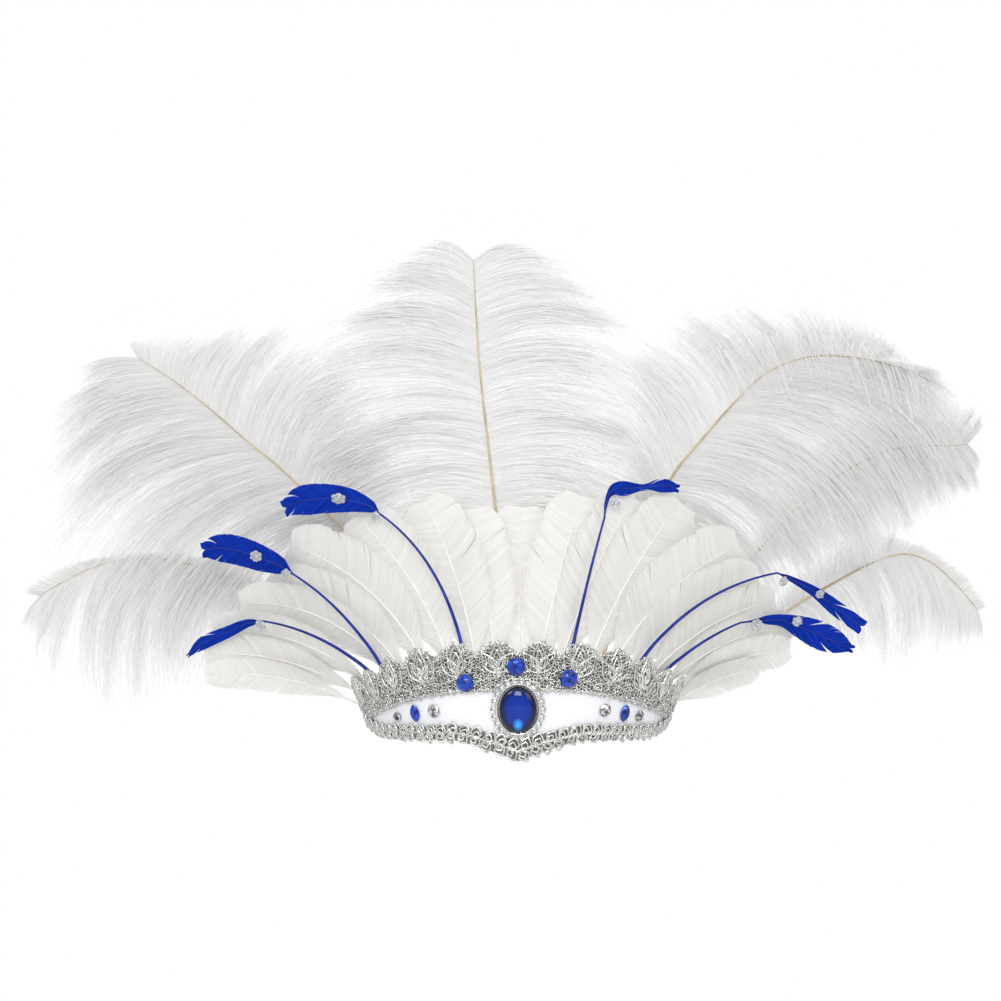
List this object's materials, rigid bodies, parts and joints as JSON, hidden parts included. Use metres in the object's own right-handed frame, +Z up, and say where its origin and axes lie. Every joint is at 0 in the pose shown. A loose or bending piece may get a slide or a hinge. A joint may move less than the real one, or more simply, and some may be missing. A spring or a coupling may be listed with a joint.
{
  "type": "showgirl feather headdress",
  "caption": "Worn showgirl headdress: a flared white tiara band with silver lace, blue stones, goose feathers, blue quills and tall white ostrich plumes.",
  "frame": {"origin": "middle of the head hollow, level with the band's lower edge at the sides", "axes": "+Z up, -Y to the front of the head, +X to the viewer's right as seen from the front"},
  "size_m": [0.5506, 0.2031, 0.2838],
  "materials": {
    "band_fabric": "stiff white fabric, matte",
    "silver_lace": "silver bullion lace, glittering",
    "silver_braid": "silver bullion braid, glittering",
    "setting_metal": "silver-plated, polished",
    "blue_stone": "deep blue faceted, glossy",
    "clear_stone": "clear foiled, glossy",
    "elastic": "white elastic",
    "felt": "white felt",
    "goose_feather": "white goose feather, soft sheen",
    "blue_feather": "royal blue dyed feather",
    "crystal": "clear cut crystal",
    "ostrich_feather": "white ostrich plume, fluffy, with a tan quill"
  },
  "bodies": {
    "root": {"band": "band_fabric", "top_lace": "silver_lace", "bottom_braid": "silver_braid", "gem_setting": "setting_metal", "center_gem": "blue_stone", "round_gem_left": "blue_stone", "round_gem_top": "blue_stone", "round_gem_right": "blue_stone", "side_clear_1_left": "clear_stone", "side_blue_left": "blue_stone", "side_clear_2_left": "clear_stone", "side_clear_1_right": "clear_stone", "side_blue_right": "blue_stone", "side_clear_2_right": "clear_stone", "strap": "elastic", "root_backing": "felt", "goose_center": "goose_feather", "goose_left_1": "goose_feather", "goose_left_2": "goose_feather", "goose_left_3": "goose_feather", "goose_left_4": "goose_feather", "goose_left_5": "goose_feather", "goose_left_6": "goose_feather", "goose_left_7": "goose_feather", "goose_left_8": "goose_feather", "goose_left_9": "goose_feather", "blue_quill_left_1": "blue_feather", "blue_quill_left_2": "blue_feather", "blue_quill_left_3": "blue_feather", "goose_right_1": "goose_feather", "goose_right_2": "goose_feather", "goose_right_3": "goose_feather", "goose_right_4": "goose_feather", "goose_right_5": "goose_feather", "goose_right_6": "goose_feather", "goose_right_7": "goose_feather", "goose_right_8": "goose_feather", "goose_right_9": "goose_feather", "blue_quill_right_1": "blue_feather", "blue_quill_right_2": "blue_feather", "blue_quill_right_3": "blue_feather", "crystal_left_1_stem": "crystal", "crystal_left_1_vane": "crystal", "crystal_left_2_stem": "crystal", "crystal_left_2_vane": "crystal", "crystal_left_3_stem": "crystal", "crystal_right_1_stem": "crystal", "crystal_right_2_stem": "crystal", "crystal_right_2_vane": "crystal", "crystal_right_3_stem": "crystal", "crystal_right_3_vane": "crystal", "plume_center": "ostrich_feather", "plume_left": "ostrich_feather", "plume_right": "ostrich_feather", "plume_far_left_low": "ostrich_feather", "plume_far_right_up": "ostrich_feather", "plume_far_right_low": "ostrich_feather"}
  },
  "joints": []
}
